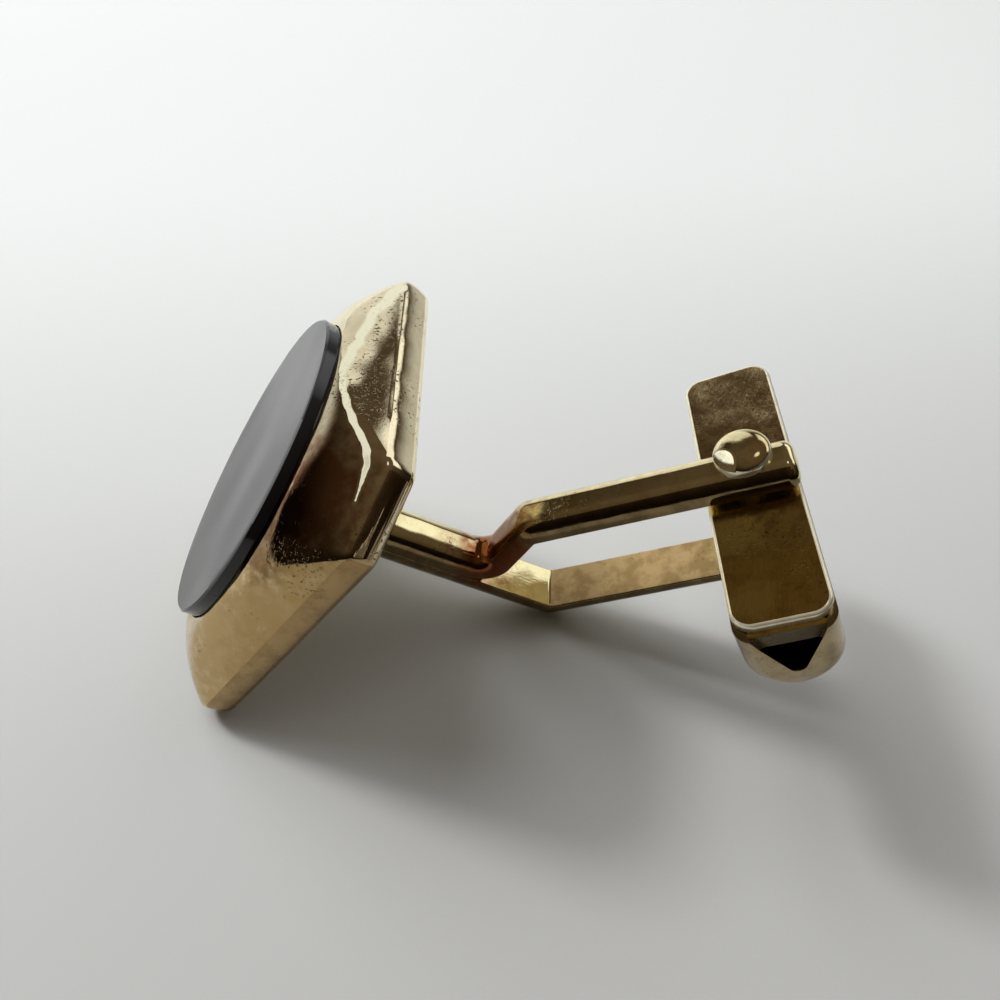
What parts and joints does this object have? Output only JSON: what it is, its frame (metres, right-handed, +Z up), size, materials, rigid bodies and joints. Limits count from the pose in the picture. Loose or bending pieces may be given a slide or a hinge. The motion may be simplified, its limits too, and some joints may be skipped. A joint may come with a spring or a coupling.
{
  "type": "cufflink",
  "caption": "Swivel-toggle cufflink with a six-sided faceted gold face, an oval black stone and a forked post that holds a turning bar.",
  "frame": {"origin": "centre of the bounding box, on the surface that the link lies on", "axes": "+Z up from that surface, +X from the face towards the toggle, +Y away from the picture's viewpoint"},
  "size_m": [0.0335, 0.0184, 0.0159],
  "materials": {
    "gold_bezel": "polished gold plate with fine wear, specks and scratches",
    "gold_post": "drawn and gold-plated bar, satin with mottled highlights",
    "gold_toggle": "gold plate with a mottled brown patina",
    "onyx": "black stone, satin front and polished edge",
    "cement": "set jeweller's cement",
    "spring_steel": "bright spring steel",
    "braze": "dull brown braze"
  },
  "bodies": {
    "post": {"bezel": "gold_bezel", "stone": "onyx", "stone_cement": "cement", "back_plate": "gold_bezel", "post_collar": "gold_post", "upper_bar": "gold_post", "lower_bar": "gold_post", "crotch_braze": "braze", "pivot_rivet": "gold_post", "click_block": "spring_steel"},
    "toggle": {"toggle_lid": "gold_toggle", "toggle_trough": "gold_toggle", "leaf_spring_left": "spring_steel", "leaf_spring_right": "spring_steel"}
  },
  "joints": [
    {"name": "toggle_swivel", "type": "hinge", "parent": "post", "child": "toggle", "pos_m": [0.01248, -0.0002, 0.01056], "axis": [-0.5214, -0.0671, 0.8507], "continuous": true, "deforming": ["leaf_spring_left", "leaf_spring_right"]}
  ]
}
